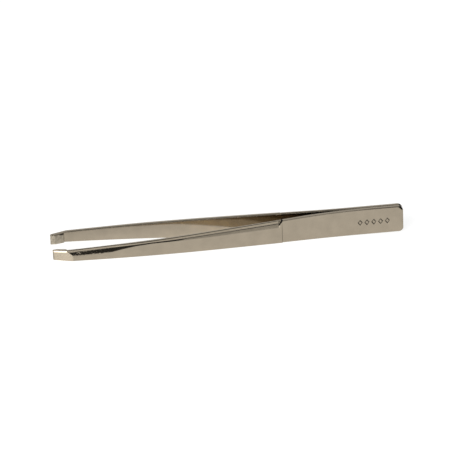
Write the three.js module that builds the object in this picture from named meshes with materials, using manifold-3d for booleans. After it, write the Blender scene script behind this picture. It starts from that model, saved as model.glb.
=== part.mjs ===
// Slant tweezers: two sprung steel arms, spot-welded together at the heel.
//
// Lengths are in millimetres. Each arm is drawn in the tweezers' own axes: x runs back along
// the arms (0 at the heel end, -LENGTH at the tips), y is across the gap (0 between the arms)
// and z is across an arm's width. The arms mirror each other. The whole is then tipped by
// REST_TILT and stood on z = 0, because the tapering arms lie on their lower edges.
import * as THREE from "three";
import { mergeVertices } from "three/addons/utils/BufferGeometryUtils.js";
import Module from "manifold-3d";

const wasm = await Module();
wasm.setup();

// --- Driving dimensions ---------------------------------------------------------------

const LENGTH = 90;

// Width of an arm: parallel at the heel, easing into a straight taper towards the tip.
const HEEL_WIDTH = 7.13;
const HEEL_CORNER = 1.2; // radius of the two corners at the heel end
const RUB_REACH = 1.35; // of the flat rubbed on the upper corner, along and down the outer face
const RUB_SLOPE = 0.5;
const TAPER_START = 13;
const TAPER_FULL = 29;
const TAPER_RATE = 0.0661; // width lost for each millimetre of length

// Thickness: the blade stands a little proud of the heel, behind a step.
const HEEL_THICKNESS = 1.02;
const BLADE_THICKNESS = 1.22;
const STEP_STATION = 31.25;
const STEP_LENGTH = 0.12;

// The inner face's spread: slope away from the middle plane at stations from the heel end.
const SEAM = 0.1; // between the two heels, bridged by the welds
const SPREAD = [
  { station: 11, slope: 0 },
  { station: 27, slope: 0.099 },
  { station: 50, slope: 0.086 },
  { station: 86, slope: 0.005 },
];

const EDGE_BREAK = 0.1; // every plain long edge

// Upper outer edge of a blade: a steep bevel, and a shallower one (the crown) below it. Each has
// a height down the face and a lean from upright, at stations from the heel end. Both bevels
// start in a short shoulder at the step.
const SHOULDER_START = 31.05;
const SHOULDER_END = 32.05;
const BEVEL_LEAN = THREE.MathUtils.degToRad(34);
const BEVEL_HEIGHT = [
  { station: 33, value: 0.55 },
  { station: 58, value: 0.4 },
  { station: 65, value: 0.27 },
  { station: 73, value: 0.34 },
  { station: 78, value: 0.44 },
  { station: 84, value: 0.4 },
];
const CROWN_LEAN = [
  { station: 50, value: THREE.MathUtils.degToRad(14) },
  { station: 58, value: THREE.MathUtils.degToRad(18) },
];
const CROWN_HEIGHT = [
  { station: 33, value: 1.1 },
  { station: 42, value: 0.9 },
  { station: 58, value: 0.45 },
  { station: 65, value: 0.36 },
  { station: 69, value: 0.45 },
  { station: 75, value: 1.15 },
  { station: 84, value: 0.95 },
];
const REAR_BEVEL_SHARE = 0.25; // the rear arm's bevels are this much of the front arm's height

// Lower outer edge: a bevel at 45 degrees, wider towards the tip.
const LOWER_BEVEL = [
  { station: 60, value: 0.12 },
  { station: 80, value: 0.2 },
];

// Jaw: a pad proud of the inner face, toed in, with a land that meets the other one flat.
const JAW_STATION = 86.4;
const JAW_RISE = 0.38;
const JAW_TOE = THREE.MathUtils.degToRad(15.5);
const LAND_STATION = 88.8;
const CLOSING_ANGLE = THREE.MathUtils.degToRad(2.95); // turn of each arm from rest to closed

// Outer facet ground on the tip, and the broken edges above it and at its end.
const FACET_STATION = 85.1;
const FACET_ANGLE = THREE.MathUtils.degToRad(16);
const FACET_ROLL = THREE.MathUtils.degToRad(-1);
const FACET_BREAK_WIDTH = 0.3; // of the break along the facet's upper edge
const FACET_BREAK_ROLL = THREE.MathUtils.degToRad(28);
const END_BREAK_STATION = 89.75;
const END_BREAK_ANGLE = THREE.MathUtils.degToRad(60);

// Each arm flexes about this station, so it is cut there into a fixed and a moving length.
const FLEX_STATION = 20;
const FLEX_GAP = 0.3;

const WELD_STATIONS = { spot_weld_inner: 9.5, spot_weld_outer: 4 };
const WELD_RADIUS = 1.5;
const WELD_SIDES = 24;

const STATION_SPACING = 2.5;
const CORNER_STEPS = 6;
const CUTTER_SIZE = 20;

const REST_TILT = Math.atan(TAPER_RATE / 2);

// --- Profiles along an arm ------------------------------------------------------------

function halfWidth(station) {
  const blend = TAPER_FULL - TAPER_START;
  const run = Math.max(0, station - TAPER_START);
  const lost = run < blend ? (run * run) / (2 * blend) : run - blend / 2;
  const half = (HEEL_WIDTH - TAPER_RATE * lost) / 2;
  const inCorner = Math.max(0, HEEL_CORNER - station);
  return half - HEEL_CORNER + Math.sqrt(HEEL_CORNER ** 2 - inCorner ** 2);
}

// Half of the gap between the arms' inner faces, the slopes of SPREAD added up.
function halfGap(station) {
  let gap = SEAM / 2;
  for (let i = 1; i < SPREAD.length; i += 1) {
    const from = SPREAD[i - 1];
    const to = SPREAD[i];
    const length = to.station - from.station;
    const run = THREE.MathUtils.clamp(station - from.station, 0, length);
    gap += run * from.slope + ((to.slope - from.slope) * run * run) / (2 * length);
  }
  const last = SPREAD[SPREAD.length - 1];
  return gap + Math.max(0, station - last.station) * last.slope;
}

// The inner face, jaw pad included.
function innerFace(station) {
  if (station <= JAW_STATION) return halfGap(station);
  const toe = Math.min(station, LAND_STATION) - JAW_STATION;
  const land = Math.max(0, station - LAND_STATION);
  const heelOfJaw = halfGap(JAW_STATION) - JAW_RISE;
  return heelOfJaw - toe * Math.tan(JAW_TOE) + land * Math.tan(CLOSING_ANGLE);
}

function outerFace(station) {
  const rise = THREE.MathUtils.clamp((station - STEP_STATION) / STEP_LENGTH, 0, 1);
  return halfGap(station) + THREE.MathUtils.lerp(HEEL_THICKNESS, BLADE_THICKNESS, rise);
}

// Straight lines through the points of a table, level beyond its ends.
function along(table, station) {
  const next = table.findIndex((point) => point.station > station);
  if (next === 0) return table[0].value;
  if (next === -1) return table[table.length - 1].value;
  const from = table[next - 1];
  const to = table[next];
  const share = (station - from.station) / (to.station - from.station);
  return THREE.MathUtils.lerp(from.value, to.value, share);
}

// The outer side of a section from its lower edge to its upper one: heights from the edges of
// the arm, and cuts in from the outer face.
function outerCorners(station, bevelShare) {
  const rise = (station - SHOULDER_START) / (SHOULDER_END - SHOULDER_START);
  const shoulder = THREE.MathUtils.clamp(rise, 0, 1);
  const bevelHeight = bevelShare * along(BEVEL_HEIGHT, station);
  const crownHeight = bevelShare * along(CROWN_HEIGHT, station);
  const crownCut = shoulder * crownHeight * Math.tan(along(CROWN_LEAN, station));
  const bevelCut = shoulder * bevelHeight * Math.tan(BEVEL_LEAN);
  const crownTop = THREE.MathUtils.lerp(EDGE_BREAK, bevelHeight, shoulder);
  const crownFoot = crownTop + THREE.MathUtils.lerp(EDGE_BREAK, crownHeight, shoulder);
  const lower = along(LOWER_BEVEL, station);
  const half = halfWidth(station);
  return [
    { z: -half, cut: lower },
    { z: lower - half, cut: 0 },
    { z: half - crownFoot, cut: 0 },
    { z: half - crownTop, cut: crownCut },
    { z: half, cut: Math.max(EDGE_BREAK, crownCut + bevelCut) },
  ];
}

// --- Solids ---------------------------------------------------------------------------

// Stations between two ends: evenly spaced, and one at each feature.
function stationsBetween(start, end) {
  const steps = Math.ceil((end - start) / STATION_SPACING);
  const even = Array.from({ length: steps + 1 }, (_, i) => start + ((end - start) * i) / steps);
  const corner = Array.from({ length: CORNER_STEPS }, (_, i) => {
    const turn = ((i + 1) / CORNER_STEPS) * (Math.PI / 2);
    return HEEL_CORNER * (1 - Math.cos(turn));
  });
  const features = [
    ...corner,
    STEP_STATION,
    STEP_STATION + STEP_LENGTH,
    SHOULDER_START,
    SHOULDER_END,
    ...[BEVEL_HEIGHT, CROWN_HEIGHT].flat().map((point) => point.station),
    JAW_STATION,
    JAW_STATION + STEP_LENGTH,
    LAND_STATION,
  ].filter((station) => station > start && station < end);
  const merged = [...even, ...features].sort((a, b) => a - b);
  const tooClose = STEP_LENGTH / 2;
  return merged.filter((station, i) => i === 0 || station - merged[i - 1] > tooClose);
}

// A length of arm: a box with a row of faces for each bevel, moved onto the arm's profiles.
function armLength(start, end, bevelShare) {
  const stations = stationsBetween(start, end);
  const steps = stations.length - 1;
  const rows = outerCorners(start, bevelShare).length - 1;
  const geometry = new THREE.BoxGeometry(1, 1, 1, steps, 1, rows);
  const position = geometry.getAttribute("position");
  for (let i = 0; i < position.count; i += 1) {
    const station = stations[Math.round((0.5 - position.getX(i)) * steps)];
    const corner = outerCorners(station, bevelShare)[Math.round((position.getZ(i) + 0.5) * rows)];
    const isOuter = position.getY(i) > 0;
    const y = isOuter ? outerFace(station) - corner.cut : innerFace(station);
    position.setXYZ(i, -station, y, corner.z);
  }
  return geometry;
}

function toSolid(geometry) {
  const bare = geometry.clone();
  bare.deleteAttribute("normal");
  bare.deleteAttribute("uv");
  const merged = mergeVertices(bare);
  return new wasm.Manifold(
    new wasm.Mesh({
      numProp: 3,
      vertProperties: merged.getAttribute("position").array,
      triVerts: new Uint32Array(merged.index.array),
    }),
  );
}

function toGeometry(solid) {
  const mesh = solid.getMesh();
  const indexed = new THREE.BufferGeometry();
  indexed.setAttribute("position", new THREE.BufferAttribute(mesh.vertProperties, 3));
  indexed.setIndex(new THREE.BufferAttribute(mesh.triVerts, 1));
  const faceted = indexed.toNonIndexed();
  faceted.computeVertexNormals();
  return faceted;
}

// Grinds a flat on a solid: takes off all that lies beyond the plane through point.
function grind(solid, point, normal) {
  const cutter = new THREE.BoxGeometry(CUTTER_SIZE, CUTTER_SIZE, CUTTER_SIZE);
  cutter.translate(0, CUTTER_SIZE / 2, 0);
  cutter.applyQuaternion(
    new THREE.Quaternion().setFromUnitVectors(new THREE.Vector3(0, 1, 0), normal),
  );
  cutter.translate(point.x, point.y, point.z);
  return solid.subtract(toSolid(cutter));
}

function facetNormal(angle, roll) {
  return new THREE.Vector3(-Math.sin(angle), Math.cos(angle), Math.tan(roll)).normalize();
}

// A heel, its upper outer corner rubbed down.
function heelGeometry(bevelShare) {
  const blank = toSolid(armLength(0, FLEX_STATION - FLEX_GAP / 2, bevelShare));
  const foot = new THREE.Vector3(0, outerFace(0), HEEL_WIDTH / 2 - RUB_REACH);
  return toGeometry(grind(blank, foot, new THREE.Vector3(RUB_SLOPE, 1, RUB_SLOPE).normalize()));
}

// The facet's surface at a station and height.
function onFacet(station, z) {
  const lengthwise = (station - FACET_STATION) * Math.tan(FACET_ANGLE);
  const upwards = (z * Math.tan(FACET_ROLL)) / Math.cos(FACET_ANGLE);
  return new THREE.Vector3(-station, outerFace(FACET_STATION) - lengthwise - upwards, z);
}

function bladeGeometry(bevelShare) {
  const blank = toSolid(armLength(FLEX_STATION + FLEX_GAP / 2, LENGTH, bevelShare));
  const facet = facetNormal(FACET_ANGLE, FACET_ROLL);
  const facetBreak = facetNormal(FACET_ANGLE, FACET_BREAK_ROLL);
  const breakHeight = halfWidth(LAND_STATION) - bevelShare * FACET_BREAK_WIDTH;
  const endBreak = facetNormal(END_BREAK_ANGLE, FACET_ROLL);
  const faceted = grind(blank, onFacet(FACET_STATION, 0), facet);
  const broken = grind(faceted, onFacet(LAND_STATION, breakHeight), facetBreak);
  return toGeometry(grind(broken, onFacet(END_BREAK_STATION, 0), endBreak));
}

// --- Assembly -------------------------------------------------------------------------

const nickelPlate = () =>
  new THREE.MeshStandardMaterial({ color: 0xb5aa98, roughness: 0.18, metalness: 1 });
const weldMetal = () =>
  new THREE.MeshStandardMaterial({ color: 0x8d8880, roughness: 0.45, metalness: 1 });

function named(name, geometry, material) {
  const mesh = new THREE.Mesh(geometry, material);
  mesh.name = name;
  return mesh;
}

// One arm, on the +y side of the middle plane.
function arm(name, bevelShare) {
  const group = new THREE.Group();
  group.add(named(`${name}_heel`, heelGeometry(bevelShare), nickelPlate()));
  group.add(named(`${name}_blade`, bladeGeometry(bevelShare), nickelPlate()));
  return group;
}

const rearArm = arm("rear_arm", REAR_BEVEL_SHARE);
const frontArm = arm("front_arm", 1);
frontArm.scale.y = -1;

const tweezers = new THREE.Group();
tweezers.add(rearArm, frontArm);
for (const [name, station] of Object.entries(WELD_STATIONS)) {
  const nugget = new THREE.CylinderGeometry(WELD_RADIUS, WELD_RADIUS, SEAM, WELD_SIDES);
  const weld = named(name, nugget, weldMetal());
  weld.position.x = -station;
  tweezers.add(weld);
}

// Tipped onto the lower edges of the blades, then centred over the origin on z = 0.
tweezers.rotation.y = -REST_TILT;
const extent = new THREE.Box3().setFromObject(tweezers, true);
tweezers.position.x = -(extent.min.x + extent.max.x) / 2;
tweezers.position.z = -extent.min.z;

export default tweezers;
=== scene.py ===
"""Looks of the slant tweezers: two sprung, nickel-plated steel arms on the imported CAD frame.

Each arm is one mesh, lofted through rounded cross-sections and bent across its flexing length.
Sections are worked out in millimetres in the tweezers' own axes, as in the CAD: the station runs
from 0 at the heel end to LENGTH at the tips, `out` is away from the middle plane and `up` is
across an arm's width. place() turns them into the row frame's metres.
"""

import math

import bpy
import numpy as np
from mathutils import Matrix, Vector


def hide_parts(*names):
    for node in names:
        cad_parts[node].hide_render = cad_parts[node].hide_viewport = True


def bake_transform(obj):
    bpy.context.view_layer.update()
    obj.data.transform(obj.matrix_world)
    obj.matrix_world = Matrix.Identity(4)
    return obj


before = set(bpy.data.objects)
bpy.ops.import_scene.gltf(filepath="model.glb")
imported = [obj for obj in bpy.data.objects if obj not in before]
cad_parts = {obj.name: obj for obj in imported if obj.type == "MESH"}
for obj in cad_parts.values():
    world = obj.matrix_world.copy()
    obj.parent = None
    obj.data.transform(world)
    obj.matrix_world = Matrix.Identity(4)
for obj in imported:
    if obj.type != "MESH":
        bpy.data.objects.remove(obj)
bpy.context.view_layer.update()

MM = 0.001

# --- Driving dimensions, millimetres ---------------------------------------------------
# A list of pairs gives a value at stations, with straight lines between them.

LENGTH = 90.0
HEEL_WIDTH = 7.13
HEEL_CORNER = 1.2
TAPER_START, TAPER_FULL, TAPER_RATE = 13.0, 29.0, 0.0661
HEEL_THICKNESS, BLADE_THICKNESS = 1.02, 1.22
STEP_STATION, STEP_LENGTH = 31.25, 0.12
SEAM = 0.1
SPREAD = [(11, 0), (27, 0.099), (50, 0.086), (86, 0.005)]  # slope of the inner face
REST_TILT = math.atan(TAPER_RATE / 2)

JAW_STATION, JAW_WALL, JAW_RISE = 86.4, 0.15, 0.38
JAW_TOE = math.radians(15.5)
LAND_STATION = 88.8
CLOSING_ANGLE = math.radians(2.95)
FACET_STATION, FACET_BLEND = 85.1, 0.04  # where the facet starts, and how softly
FACET_ANGLE, FACET_ROLL = math.radians(16), math.radians(-1)
STRIP_HEIGHT, STRIP_LEAN = 0.25, math.radians(30)  # bevel along the facet's upper edge
# The tip's outer end is broken at an angle, but not the metal this near the inner face.
END_BREAK_STATION, END_BREAK_ANGLE, END_BREAK_SPARED = 89.75, math.radians(60), 0.12
END_ROUND = 0.07

# Upper outer edge of a blade: a narrow steep bevel, and below it a wider shallow crown. Each is
# given by how far it runs down the face and by its lean from upright in degrees.
BEVEL_HEIGHT = [(33, 0.55), (42, 0.5), (58, 0.4), (65, 0.27), (73, 0.34), (78, 0.44), (84, 0.4)]
BEVEL_LEAN = 34
CROWN_HEIGHT = [
    (33, 1.1), (42, 0.9), (50, 0.75), (58, 0.45), (65, 0.36),
    (69, 0.45), (72.5, 0.8), (75, 1.15), (78, 1.05), (84, 0.95),
]
CROWN_LEAN = [(33, 14), (56.5, 14.3), (58.5, 18)]
# How much lower the front arm's top lies than its half width.
UPPER_TRIM = [(8, 0), (20, 0.15), (32, 0.22), (60, 0.22), (72, 0.1), (84, 0)]
# The rear arm has this much of the front arm's bevel, crown, trim and strip.
REAR_SHARE = 0.25
# Spans of stations over which the top, the bevel and the crown each reach full size, in a
# shoulder at the step.
SHOULDER = [(30.95, 31.2), (31.35, 31.65), (31.8, 32.1)]
SLIM_EDGE = 0.1  # size of the bevel and of the crown on the heel
LOWER_BEVEL = [(33, 0.1), (60, 0.12), (80, 0.2)]
# How far a top rises from its edges to its ridge, on the front and the rear arm.
FRONT_TOP = [(0, 0.03), (8, 0.03), (13, 0), (31, 0), (34, 0.05), (84, 0.05), (86, 0.01)]
REAR_TOP = [(0, 0.03), (12, 0.03), (17, 0.07), (29, 0.07), (34, 0.05), (84, 0.05), (86, 0.01)]
# Where the ridge lies, as a share of the top from its inner edge.
FRONT_RIDGE = [(31, 0.5), (34, 0.66), (80, 0.66), (86, 0.5)]
REAR_RIDGE = 0.5

# The heel's upper corner is rubbed down at this slope, within this reach of its two edges. The
# slope starts when that share of the reach has been passed.
RUB_REACH, RUB_START, RUB_SLOPE = 1.05, 0.7, 0.5
# The front shoulder ends in a small scoop in the face, above where the step starts.
SCOOP_STATION, SCOOP_RUN, SCOOP_DOWN, SCOOP_REACH, SCOOP_SLOPE = 31.8, 0.35, 0.3, 0.3, 0.6
SCOOP_SPARED = 0.5  # metal this near the inner face is left alone

# --- Profiles along an arm --------------------------------------------------------------


def interp(points, station):
    """Straight lines through (station, value) points."""
    xs, ys = zip(*points)
    return np.interp(station, xs, ys)


def half_width(station):
    """Half an arm's width, with the taper and the heel's rounded corners."""
    blend = TAPER_FULL - TAPER_START
    run = np.maximum(0, station - TAPER_START)
    lost = np.where(run < blend, run**2 / (2 * blend), run - blend / 2)
    half = (HEEL_WIDTH - TAPER_RATE * lost) / 2
    in_corner = np.maximum(0, HEEL_CORNER - station)
    return half - HEEL_CORNER + np.sqrt(HEEL_CORNER**2 - in_corner**2)


def half_gap(station):
    """From the middle plane to an arm's inner face, without the jaw."""
    gap = np.full_like(station, SEAM / 2)
    for (start, slope), (end, next_slope) in zip(SPREAD, SPREAD[1:]):
        run = np.clip(station - start, 0, end - start)
        gap += run * slope + (next_slope - slope) * run**2 / (2 * (end - start))
    return gap + np.maximum(0, station - SPREAD[-1][0]) * SPREAD[-1][1]


def inner_face(station):
    """Inner face with the jaw pad, which toes in and ends in a land."""
    toe = np.clip(station, JAW_STATION, LAND_STATION) - JAW_STATION
    land = np.maximum(0, station - LAND_STATION)
    rise = JAW_RISE * np.clip((station - JAW_STATION) / JAW_WALL, 0, 1)
    return half_gap(station) - rise - toe * math.tan(JAW_TOE) + land * math.tan(CLOSING_ANGLE)


def outer_face(station):
    """Outer face, with the step up from the heel's thickness to the blade's."""
    rise = np.clip((station - STEP_STATION) / STEP_LENGTH, 0, 1)
    return half_gap(station) + HEEL_THICKNESS + rise * (BLADE_THICKNESS - HEEL_THICKNESS)


# --- Cross-sections ----------------------------------------------------------------------
# A section runs round eight corners: inner face's foot and head, the top's ridge and outer edge,
# the bevel's foot, the crown's foot, and the lower bevel's two edges.

CORNER_REACH = (0.08, 0.1, 0.3, 0.07, 0.1, 0.12, 0.05, 0.05)  # how far each rounding reaches
ROUNDED_SHARE = 0.45  # and at most this share of the side next to it
CORNER_STEPS = 4
RUN_STEPS = (8, 2, 2, 3, 6, 24, 2, 4)  # quads along the side after each corner
INNER_RUN, CROWN_RUN, FACE_RUN = 0, 4, 5


def soft_min(a, b, radius):
    """The lesser of two, rounded where they cross."""
    return (a + b - np.sqrt((a - b) ** 2 + radius**2)) / 2


def ease(station, start, end):
    """A smooth rise from 0 at the start to 1 at the end."""
    t = np.clip((station - start) / (end - start), 0, 1)
    return t * t * (3 - 2 * t)


def lean_out(height, lean):
    """How far a side of that height leans out, at an angle from upright in degrees."""
    return height * np.tan(np.radians(lean))


def corner_points(station, front):
    """The corners of a section, as (out, up)."""
    share = 1.0 if front else REAR_SHARE
    inner, outer, half = inner_face(station), outer_face(station), half_width(station)
    top = half - share * interp(UPPER_TRIM, station)
    top_share, bevel_share, crown_share = (ease(station, *span) for span in SHOULDER)
    bevel_up = share * interp(BEVEL_HEIGHT, station)
    crown_up = share * interp(CROWN_HEIGHT, station)
    crown_out = lean_out(crown_up, interp(CROWN_LEAN, station))
    full_out = lean_out(bevel_up, BEVEL_LEAN) + crown_out
    top_edge = outer - SLIM_EDGE - top_share * (full_out - SLIM_EDGE)
    mid_down = SLIM_EDGE + bevel_share * (bevel_up - SLIM_EDGE)
    low_down = mid_down + SLIM_EDGE + crown_share * (crown_up - SLIM_EDGE)
    lower = interp(LOWER_BEVEL, station)
    low_edge = top - interp(FRONT_TOP if front else REAR_TOP, station)
    ridge = interp(FRONT_RIDGE, station) if front else REAR_RIDGE
    return [
        (inner, -half),
        (inner, low_edge),
        (inner + ridge * (top_edge - inner), top),
        (top_edge, low_edge),
        (outer - bevel_share * crown_out, top - mid_down),
        (outer, top - low_down),
        (outer, lower - half),
        (outer - lower, -half),
    ]


def towards(here, there, reach):
    """Point on the way from one corner to the next, where the rounding starts."""
    way = there - here
    length = np.linalg.norm(way, axis=-1)
    return here + way / length[:, None] * np.minimum(reach, ROUNDED_SHARE * length)[:, None]


def section_rings(station, front):
    """Rounded cross-sections at the stations: an array (stations, points, 2) of (out, up)."""
    points = [np.stack(corner, -1) for corner in corner_points(station, front)]
    following = points[1:] + points[:1]
    starts = [towards(points[k], points[k - 1], reach) for k, reach in enumerate(CORNER_REACH)]
    stops = [towards(points[k], following[k], reach) for k, reach in enumerate(CORNER_REACH)]
    columns = []
    for k, here in enumerate(points):
        start, stop, next_start = starts[k], stops[k], starts[(k + 1) % len(starts)]
        for t in np.linspace(0, 1, CORNER_STEPS + 1):
            columns.append((1 - t) ** 2 * start + 2 * t * (1 - t) * here + t**2 * stop)
        for i in range(1, RUN_STEPS[k]):
            t = i / RUN_STEPS[k]
            columns.append(stop * (1 - t) + next_start * t)
    return np.stack(columns, 1)


def run_start(corner):
    """Column of a ring at which the side after a corner starts."""
    return sum(RUN_STEPS[:corner]) + (corner + 1) * CORNER_STEPS


def in_run(column, corner):
    return 0 <= column - run_start(corner) < RUN_STEPS[corner]


# --- Arms ----------------------------------------------------------------------------------

HEEL_RINGS, END_RINGS, END_SPAN = 13, 12, 0.28
# Stations between the rounded ends as (start, stop, spacing), dense where the shape turns quickly.
RING_SPANS = (
    (HEEL_CORNER + 0.4, STEP_STATION - 0.6, 0.5),
    (STEP_STATION - 0.4, STEP_STATION + 2.4, 0.04),
    (STEP_STATION + 2.8, 84, 0.5),
    (84.2, LENGTH - 0.3, 0.08),
)


def stations():
    """Stations of the rings, from the heel end to the tip."""
    heel = HEEL_CORNER * (1 - np.cos(np.linspace(0, math.pi / 2, HEEL_RINGS)))
    spans = [np.arange(*span) for span in RING_SPANS]
    tip = np.linspace(LENGTH - END_SPAN, LENGTH, END_RINGS)
    return np.unique(np.concatenate([heel, *spans, tip]))


def ground_facet(along, out, up, front):
    """Cut the tip's facet, with the bevel along its upper edge."""
    facet_start = float(outer_face(np.array([FACET_STATION]))[0])
    fall = (along - FACET_STATION) * math.tan(FACET_ANGLE)
    roll = up * math.tan(FACET_ROLL) / math.cos(FACET_ANGLE)
    strip = STRIP_HEIGHT if front else REAR_SHARE * STRIP_HEIGHT
    above = np.maximum(0, up - (half_width(along) - strip))
    facet = facet_start - fall - roll - above * math.tan(STRIP_LEAN)
    return soft_min(out, facet, FACET_BLEND)


def rubbed_corner(along, out, up):
    """Wear down the outer face at the heel's upper corner."""
    heel_face = float(outer_face(np.array([0.0]))[0])
    down = float(half_width(np.array([HEEL_CORNER]))[0]) - up
    inside = np.maximum(0, RUB_REACH - along) + np.maximum(0, RUB_REACH - down)
    rubbed = heel_face - np.maximum(0, inside - RUB_REACH * RUB_START) * RUB_SLOPE
    return np.where(along < RUB_REACH, np.minimum(out, rubbed), out)


def scooped(along, out, up, inner):
    """Hollow the face out at the lower end of the front shoulder."""
    run = (along - SCOOP_STATION) / SCOOP_RUN
    middle = half_width(along) - SCOOP_DOWN - SCOOP_RUN * run
    aside = np.abs(up - middle) / SCOOP_REACH
    hollow = np.maximum(0, 1 - aside) * np.maximum(0, 1 - np.abs(run)) * SCOOP_REACH * SCOOP_SLOPE
    return np.where(out > inner + SCOOP_SPARED, out - hollow, out)


def arm_rings(front):
    """Section rings of an arm, ground and worn, and rounded at both ends."""
    station = stations()
    rings = section_rings(station, front)
    out, up = rings[..., 0], rings[..., 1]
    along, inner = station[:, None], rings[:, :1, 0]
    out = ground_facet(along, out, up, front)
    out = rubbed_corner(along, out, up)
    if front:
        out = scooped(along, out, up, inner)
    past_end = np.maximum(0, along - END_BREAK_STATION)
    steeper = math.tan(END_BREAK_ANGLE) - math.tan(FACET_ANGLE)
    out = out - past_end * steeper * (out > inner + END_BREAK_SPARED)
    out = np.maximum(out, rings[..., 0].min(axis=1, keepdims=True))
    to_end = np.minimum(along, LENGTH - along)
    inset = END_ROUND - np.sqrt(END_ROUND**2 - np.maximum(0, END_ROUND - to_end) ** 2)
    low, high = out.min(axis=1, keepdims=True), out.max(axis=1, keepdims=True)
    middle, half = (low + high) / 2, (high - low) / 2
    out = middle + (out - middle) * (1 - inset / half)
    up = up * (1 - inset / np.abs(up).max(axis=1, keepdims=True))
    return station, out, up


def place(station, out, up, side):
    """Row-frame metres of a point on the rear (side 1) or front (side -1) arm."""
    turn, lean = math.cos(REST_TILT), math.sin(REST_TILT)
    along = LENGTH / 2 * turn - station * turn - up * lean
    low_line = HEEL_WIDTH / 2 + TAPER_RATE * (TAPER_START + TAPER_FULL) / 4
    height = low_line * turn - station * lean + up * turn
    return np.stack([along, side * out, height], -1) * MM


# --- Materials ------------------------------------------------------------------------------

NICKEL = (0.341, 0.293, 0.224)
TINTS = (0.95, 1.05)  # the plating's tint drifts between these shares of NICKEL
ROUGHNESS, EDGE_ROUGHNESS = (0.06, 0.15), 0.06
# The inner faces are painted brighter, the more so the nearer they are to the heel, as painted
# light against the shade between the arms: gains at two stations.
INNER_PAINTED_LIGHT = ((50, 1.25), (85, 0.95))
GRIP_TINTS = ((0.28, 0.245, 0.19), (0.41, 0.365, 0.29))
WELD_TINTS = ((0.20, 0.17, 0.15), (0.36, 0.33, 0.30))
STREAK_DEPTH, DIMPLE_DEPTH = 0.0015, 0.12  # millimetres
DIMPLES_START, DIMPLES_END = (75, 78), (84, 85.5)  # stations over which they come and go
DIMPLED_BEVEL = 2  # columns of the bevel that are dimpled, besides the crown

# Stamped ornament on the front heel: a row of lozenge outlines, in millimetres.
LOZENGES, LOZENGE_PITCH = 5, 1.75
LOZENGE_WIDE, LOZENGE_TALL, LOZENGE_LINE = 1.3, 1.7, 0.26
LOZENGE_SOFT = (0.5, 1.2)  # shares of the line's width over which it fades
ORNAMENT_STATION, ORNAMENT_UP, ORNAMENT_REACH = 7.6, -0.1, 5.0
# The stamped lines are painted darker as shade in their grooves, besides being rougher and sunk.
STAMP_PAINTED_SHADE, STAMP_ROUGHNESS, STAMP_DEPTH = 0.22, 0.15, 0.1

# Painted shade as dark strokes: station, up, half length, half width, lean in degrees and
# strength. Each fades over a span around its half length and half width.
# Painted shade in the groove by the scoop at the end of the front shoulder.
SHOULDER_GROOVE_SHADE = (31.62, 2.62, 0.85, 0.17, -53, 1.0)
# Painted shade along the step in the outer face.
STEP_SHADE_LINE = (31.31, -0.7, 2.2, 0.07, 90, 0.5)
# Painted shade where the jaw's bevelled top meets the arm's top edge.
JAW_NOTCH_SHADE = (87.05, 1.2, 0.55, 0.26, 0, 0.9)
# Colour of the painted shade strokes.
SHADE_STROKE_COLOUR = (0.004, 0.003, 0.002)
STROKE_ENDS, STROKE_SIDES = (0.8, 1.2), (0.6, 1.4)


def rgba(colour, gain=1.0):
    return (*[channel * gain for channel in colour], 1)


class Nodes:
    """Short way to add and link shader nodes. A name such as i0 stands for an input's number."""

    def __init__(self, tree):
        self.tree = tree
        tree.nodes.clear()

    def add(self, kind, settings=None, **inputs):
        node = self.tree.nodes.new(kind)
        for name, value in (settings or {}).items():
            setattr(node, name, value)
        for name, value in inputs.items():
            numbered = name[0] == "i" and name[1:].isdigit()
            socket = node.inputs[int(name[1:]) if numbered else name.replace("_", " ")]
            if isinstance(value, bpy.types.NodeSocket):
                self.tree.links.new(value, socket)
            else:
                socket.default_value = value
        return node

    def attribute(self, name, output):
        return self.add("ShaderNodeAttribute", {"attribute_name": name}).outputs[output]

    def noise(self, where, scale, detail):
        node = self.add("ShaderNodeTexNoise", Vector=where, Scale=scale, Detail=detail)
        return node.outputs["Fac"]

    def math(self, operation, *values, clamp=False):
        inputs = {f"i{i}": value for i, value in enumerate(values)}
        settings = {"operation": operation, "use_clamp": clamp}
        return self.add("ShaderNodeMath", settings, **inputs).outputs[0]

    def scaled(self, low, high, source, from_low=0.0, from_high=1.0):
        node = self.add(
            "ShaderNodeMapRange",
            Value=source, From_Min=from_low, From_Max=from_high, To_Min=low, To_Max=high,
        )
        return node.outputs["Result"]

    def mix(self, factor, low, high):
        """Colour between two, each a socket or an rgba()."""
        node = self.add("ShaderNodeMix", {"data_type": "RGBA"}, Factor=factor, A=low, B=high)
        return node.outputs["Result"]

    def metal(self, colour, roughness, height, strength, distance):
        """End the material as a metal whose surface is bumped by the height."""
        bump = self.add("ShaderNodeBump", Height=height, Strength=strength, Distance=distance)
        shader = self.add(
            "ShaderNodeBsdfPrincipled",
            Base_Color=colour, Metallic=1.0, Roughness=roughness, Normal=bump.outputs["Normal"],
        )
        self.add("ShaderNodeOutputMaterial", Surface=shader.outputs["BSDF"])


def new_material(name):
    material = bpy.data.materials.new(name)
    material.use_nodes = True
    return material, Nodes(material.node_tree)


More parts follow.
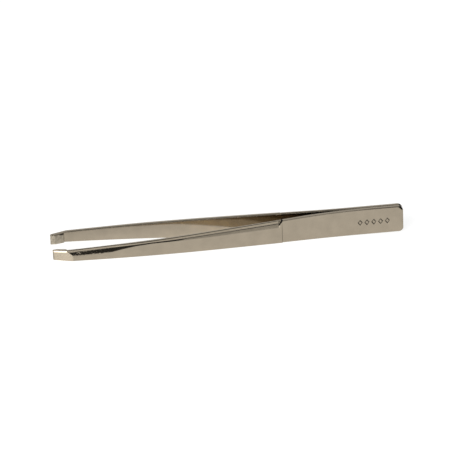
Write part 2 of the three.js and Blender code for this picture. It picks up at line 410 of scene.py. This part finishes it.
def ornament_mask(n, where):
    """1 in the stamped lines of the lozenges, 0 elsewhere."""
    axes = n.add("ShaderNodeSeparateXYZ", Vector=where)
    along = n.math("ADD", axes.outputs["X"], ORNAMENT_STATION)
    cell = n.math("WRAP", along, LOZENGE_PITCH / 2, -LOZENGE_PITCH / 2)
    above = n.math("SUBTRACT", axes.outputs["Z"], ORNAMENT_UP)
    wide = n.math("DIVIDE", n.math("ABSOLUTE", cell), LOZENGE_WIDE / 2)
    tall = n.math("DIVIDE", n.math("ABSOLUTE", above), LOZENGE_TALL / 2)
    size = n.math("ADD", wide, tall)
    line_share = LOZENGE_LINE / LOZENGE_WIDE
    from_line = n.math("ABSOLUTE", n.math("SUBTRACT", size, 1 - line_share))
    line = n.scaled(1, 0, from_line, *[soft * line_share for soft in LOZENGE_SOFT])
    inside = n.math("LESS_THAN", n.math("ABSOLUTE", along), LOZENGES * LOZENGE_PITCH / 2)
    return n.math("MULTIPLY", line, inside, clamp=True)


def shade_stroked(n, where, colour, stroke):
    """The colour, darkened by a soft-edged stroke of painted shade on an arm's side."""
    at, up, half_length, half_width, lean, strength = stroke
    axes = n.add("ShaderNodeSeparateXYZ", Vector=where)
    along = n.math("SUBTRACT", n.math("MULTIPLY", axes.outputs["X"], -1.0), at)
    above = n.math("SUBTRACT", axes.outputs["Z"], up)
    c, s = math.cos(math.radians(lean)), math.sin(math.radians(lean))
    length = n.math("ADD", n.math("MULTIPLY", along, c), n.math("MULTIPLY", above, s))
    breadth = n.math("SUBTRACT", n.math("MULTIPLY", above, c), n.math("MULTIPLY", along, s))
    end_fade = [half_length * soft for soft in STROKE_ENDS]
    side_fade = [half_width * soft for soft in STROKE_SIDES]
    in_length = n.scaled(1, 0, n.math("ABSOLUTE", length), *end_fade)
    in_breadth = n.scaled(1, 0, n.math("ABSOLUTE", breadth), *side_fade)
    mask = n.math("MULTIPLY", n.math("MULTIPLY", in_length, in_breadth), strength)
    return n.mix(mask, colour, rgba(SHADE_STROKE_COLOUR))


def nickel(name, inner=False, shoulder_shaded=False, stamped=False):
    """Polished nickel plate with drawn streaks, a slow tint drift, and painted shade and light."""
    material, n = new_material(name)
    where = n.attribute("rest", "Vector")
    edge = n.attribute("edge", "Fac")
    ground = n.attribute("ground", "Fac")
    drawn = n.add("ShaderNodeMapping", Vector=where, Scale=(0.35, 12, 12)).outputs["Vector"]
    streaks = n.noise(drawn, scale=1.0, detail=6.0)
    cloud = n.noise(where, scale=0.35, detail=3.0)
    dimples = n.noise(where, scale=1.1, detail=2.0)
    rough = n.scaled(*ROUGHNESS, streaks)
    rough = n.math("ADD", rough, n.math("MULTIPLY", edge, EDGE_ROUGHNESS))
    colour = n.mix(n.scaled(0, 1, cloud, 0.3, 0.7), *[rgba(NICKEL, share) for share in TINTS])
    if inner:
        # Painted light: the inner faces are brightened, most near the heel, against the shade
        # between the arms.
        (near, near_gain), (far, far_gain) = INNER_PAINTED_LIGHT
        along = n.add("ShaderNodeSeparateXYZ", Vector=where).outputs["X"]
        gain = n.scaled(near_gain, far_gain, along, -near, -far)
        painted_brighter = n.add("ShaderNodeVectorMath", {"operation": "SCALE"}, i0=colour, Scale=gain)
        # Painted shade at the jaw's notch.
        colour = shade_stroked(n, where, painted_brighter.outputs["Vector"], JAW_NOTCH_SHADE)
    else:
        # Painted shade along the step in the outer face.
        colour = shade_stroked(n, where, colour, STEP_SHADE_LINE)
    # Painted shade in the groove by the front shoulder's scoop.
    if shoulder_shaded:
        colour = shade_stroked(n, where, colour, SHOULDER_GROOVE_SHADE)
    height = n.math("MULTIPLY", streaks, STREAK_DEPTH)
    dents = n.math("MULTIPLY", n.math("MULTIPLY", dimples, ground), DIMPLE_DEPTH)
    height = n.math("ADD", height, dents)
    if stamped:
        mask = ornament_mask(n, where)
        # Painted shade in the stamped grooves.
        colour = n.mix(mask, colour, rgba(NICKEL, STAMP_PAINTED_SHADE))
        rough = n.math("ADD", rough, n.math("MULTIPLY", mask, STAMP_ROUGHNESS))
        height = n.math("SUBTRACT", height, n.math("MULTIPLY", mask, STAMP_DEPTH))
    n.metal(colour, rough, height, strength=1.0, distance=MM)
    return material


def grip_nickel(name):
    """Matt, blotchy plating of the jaw pads."""
    material, n = new_material(name)
    where = n.attribute("rest", "Vector")
    grain = n.noise(where, scale=7.0, detail=4.0)
    blotch = n.noise(where, scale=1.6, detail=2.0)
    low, high = GRIP_TINTS
    colour = n.mix(n.scaled(0, 1, blotch, 0.35, 0.65), rgba(low), rgba(high))
    # Painted shade at the jaw's notch.
    colour = shade_stroked(n, where, colour, JAW_NOTCH_SHADE)
    n.metal(colour, n.scaled(0.28, 0.5, grain), grain, strength=0.5, distance=0.08 * MM)
    return material


def weld_metal(name):
    """Bare, rippled metal of the spot welds."""
    material, n = new_material(name)
    where = n.add("ShaderNodeTexCoord").outputs["Object"]
    ripple = n.noise(where, scale=1500.0, detail=3.0)
    low, high = WELD_TINTS
    colour = n.mix(ripple, rgba(low), rgba(high))
    n.metal(colour, n.scaled(0.35, 0.55, ripple), ripple, strength=0.3, distance=0.05 * MM)
    return material


# --- Meshes ---------------------------------------------------------------------------------

PLATE, INNER, GRIP, STAMPED = range(4)  # an arm's material slots
FLAT_WEIGHT = 60  # how strongly large faces pull the normals beside them


def slot_of(station, column, front):
    """Material slot of the face that starts at a station and a column of its ring."""
    if in_run(column, INNER_RUN):
        return GRIP if station > JAW_STATION + JAW_WALL / 2 else INNER
    in_ornament = abs(station - ORNAMENT_STATION) < ORNAMENT_REACH
    return STAMPED if front and in_ornament and in_run(column, FACE_RUN) else PLATE


def add_attribute(mesh, name, values):
    """A point attribute of numbers, or of vectors where the values have three columns."""
    is_vector = values.shape[-1] == 3
    attribute = mesh.attributes.new(name, "FLOAT_VECTOR" if is_vector else "FLOAT", "POINT")
    key = "vector" if is_vector else "value"
    attribute.data.foreach_set(key, values.astype(np.float32).ravel())


def make_arm(name, side, materials):
    front = side < 0
    station, out, up = arm_rings(front)
    rows, columns = out.shape
    where = np.broadcast_to(station[:, None], out.shape)
    points = place(where, out, up, side).reshape(-1, 3)
    faces, slots = [], []
    for i in range(rows - 1):
        for j in range(columns):
            k = (j + 1) % columns
            here, ahead = i * columns, (i + 1) * columns
            faces.append([here + j, here + k, ahead + k, ahead + j])
            slots.append(slot_of(station[i], j, front))
    heel_cap = list(range(columns))[::-1]
    tip_cap = list(range((rows - 1) * columns, rows * columns))
    faces += [heel_cap, tip_cap]
    slots += [PLATE, PLATE]
    if front:
        faces = [face[::-1] for face in faces]
    mesh = bpy.data.meshes.new(name)
    mesh.from_pydata(points.tolist(), [], faces)
    mesh.validate()
    mesh.polygons.foreach_set("material_index", slots)
    mesh.polygons.foreach_set("use_smooth", [True] * len(faces))
    add_attribute(mesh, "rest", np.stack([-where, out, up], -1))
    rounding = [[1.0] * (CORNER_STEPS + 1) + [0.0] * (steps - 1) for steps in RUN_STEPS]
    add_attribute(mesh, "edge", np.tile(np.concatenate(rounding), rows)[:, None])
    first, last = run_start(CROWN_RUN) - DIMPLED_BEVEL, run_start(FACE_RUN)
    on_crown = np.array([1.0 if first <= j <= last else 0.0 for j in range(columns)])
    dimpled = ease(station, *DIMPLES_START) * (1 - ease(station, *DIMPLES_END))
    add_attribute(mesh, "ground", (dimpled[:, None] * on_crown).reshape(-1, 1))
    for material in materials:
        mesh.materials.append(material)
    arm = bpy.data.objects.new(name, mesh)
    bpy.context.scene.collection.objects.link(arm)
    arm.modifiers.new("flat faces", "WEIGHTED_NORMAL").weight = FLAT_WEIGHT
    return arm


rear_nickel = nickel("rear nickel plate")
front_shaded_nickel = nickel("front nickel plate", shoulder_shaded=True)
inner_painted_light_nickel = nickel("inner nickel", inner=True)
stamped_nickel = nickel("stamped nickel", stamped=True)
grip = grip_nickel("jaw grip")
for side, which, plate in ((1, "rear", rear_nickel), (-1, "front", front_shaded_nickel)):
    arm = make_arm(f"{which}_arm", side, (plate, inner_painted_light_nickel, grip, stamped_nickel))
    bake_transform(arm)
    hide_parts(f"{which}_arm_heel", f"{which}_arm_blade")

weld = weld_metal("weld metal")
for name in ("spot_weld_inner", "spot_weld_outer"):
    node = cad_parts[name]
    node.data.materials.clear()
    node.data.materials.append(weld)

# --- Stage, light and camera ------------------------------------------------------------------

FLOOR_HALF = 3.0
FLOOR_GLOW = (0.79, 0.81)
# Studio brightness by angle in degrees from the horizon in front of the tweezers, up over the
# zenith (90) and down to the horizon behind them (180).
STUDIO = [
    (0, 0.04), (21, 0.04), (29, 1.0), (72, 1.0), (82, 0.04),
    (136, 0.08), (148, 0.7), (156, 0.9), (180, 1.0),
]
# The room darkens to the right, over these values of a direction's x, down to this share.
RIGHT_FLAG, RIGHT_SHARE = (0.27, 0.37), 0.02

AZIMUTH, ELEVATION = math.radians(-6.8), math.radians(28.8)
DISTANCE = 1.2
FRAME_WIDTH = 116.93  # millimetres across the picture at the tweezers
# The point looked at, and how far right of it and above it the picture's middle lies.
TARGET = (0.0, 0.0, 4.19)
TARGET_OFFSET = (0.58, -0.77)


def make_floor():
    mesh = bpy.data.meshes.new("floor")
    square = [(-1, -1), (1, -1), (1, 1), (-1, 1)]
    vertices = [(x * FLOOR_HALF, y * FLOOR_HALF, 0) for x, y in square]
    mesh.from_pydata(vertices, [], [(0, 1, 2, 3)])
    material, n = new_material("pale floor")
    where = n.add("ShaderNodeTexCoord").outputs["Object"]
    glow_strength = n.scaled(*FLOOR_GLOW, n.noise(where, scale=40.0, detail=2.0))
    glow = n.add("ShaderNodeEmission", Color=(1, 1, 1, 1), Strength=glow_strength)
    gloss = n.add(
        "ShaderNodeBsdfPrincipled", Base_Color=(0.3, 0.3, 0.3, 1), Roughness=0.1, IOR=1.5,
    )
    both = n.add("ShaderNodeAddShader", i0=glow.outputs[0], i1=gloss.outputs[0])
    n.add("ShaderNodeOutputMaterial", Surface=both.outputs[0])
    mesh.materials.append(material)
    floor = bpy.data.objects.new("floor", mesh)
    bpy.context.scene.collection.objects.link(floor)


def make_world():
    world = bpy.data.worlds.new("studio")
    bpy.context.scene.world = world
    world.use_nodes = True
    n = Nodes(world.node_tree)
    direction = n.add("ShaderNodeTexCoord").outputs["Generated"]
    axes = n.add("ShaderNodeSeparateXYZ", Vector=direction)
    front = n.math("MULTIPLY", axes.outputs["Y"], -1.0)
    angle = n.math("DIVIDE", n.math("ARCTAN2", axes.outputs["Z"], front), math.pi)
    ramp = n.add("ShaderNodeValToRGB", Fac=angle)
    elements = ramp.color_ramp.elements
    while len(elements) < len(STUDIO):
        elements.new(0.5)
    for element, (degrees, value) in zip(elements, STUDIO):
        element.position = degrees / 180
        element.color = (value, value, value, 1)
    open_side = n.scaled(1.0, RIGHT_SHARE, axes.outputs["X"], *RIGHT_FLAG)
    background = n.add("ShaderNodeBackground", Color=ramp.outputs["Color"], Strength=open_side)
    n.add("ShaderNodeOutputWorld", Surface=background.outputs[0])


def direction_to(azimuth, elevation):
    """Azimuth 0 is in front of the tweezers, and a quarter turn is to their right."""
    flat = math.cos(elevation)
    return Vector((math.sin(azimuth) * flat, -math.cos(azimuth) * flat, math.sin(elevation)))


def softbox(name, azimuth, elevation, width, height, radiance, distance=0.7):
    """A rectangular light, aimed at the tweezers. Its place and size are angles in degrees."""
    way = direction_to(math.radians(azimuth), math.radians(elevation))
    data = bpy.data.lights.new(name, "AREA")
    data.shape = "RECTANGLE"
    data.size = 2 * distance * math.tan(math.radians(width / 2))
    data.size_y = 2 * distance * math.tan(math.radians(height / 2))
    data.energy = radiance * math.pi * data.size * data.size_y
    light = bpy.data.objects.new(name, data)
    light.location = way * distance
    light.rotation_mode = "QUATERNION"
    light.rotation_quaternion = way.to_track_quat("Z", "Y")
    bpy.context.scene.collection.objects.link(light)


def make_camera():
    data = bpy.data.cameras.new("camera")
    camera = bpy.data.objects.new("camera", data)
    bpy.context.scene.collection.objects.link(camera)
    bpy.context.scene.camera = camera
    back = direction_to(AZIMUTH, ELEVATION)
    right = Vector((math.cos(AZIMUTH), math.sin(AZIMUTH), 0))
    above = back.cross(right)
    aim = (Vector(TARGET) + right * TARGET_OFFSET[0] + above * TARGET_OFFSET[1]) * MM
    camera.location = aim + back * DISTANCE
    camera.rotation_mode = "QUATERNION"
    camera.rotation_quaternion = back.to_track_quat("Z", "Y")
    data.sensor_width = 36.0
    data.lens = data.sensor_width * DISTANCE / (FRAME_WIDTH * MM)
    data.clip_start, data.clip_end = 0.05, 20.0


make_floor()
make_world()
softbox("left_softbox", azimuth=-36, elevation=25, width=36, height=48, radiance=7.4)
make_camera()
bpy.context.scene.view_settings.view_transform = "Standard"
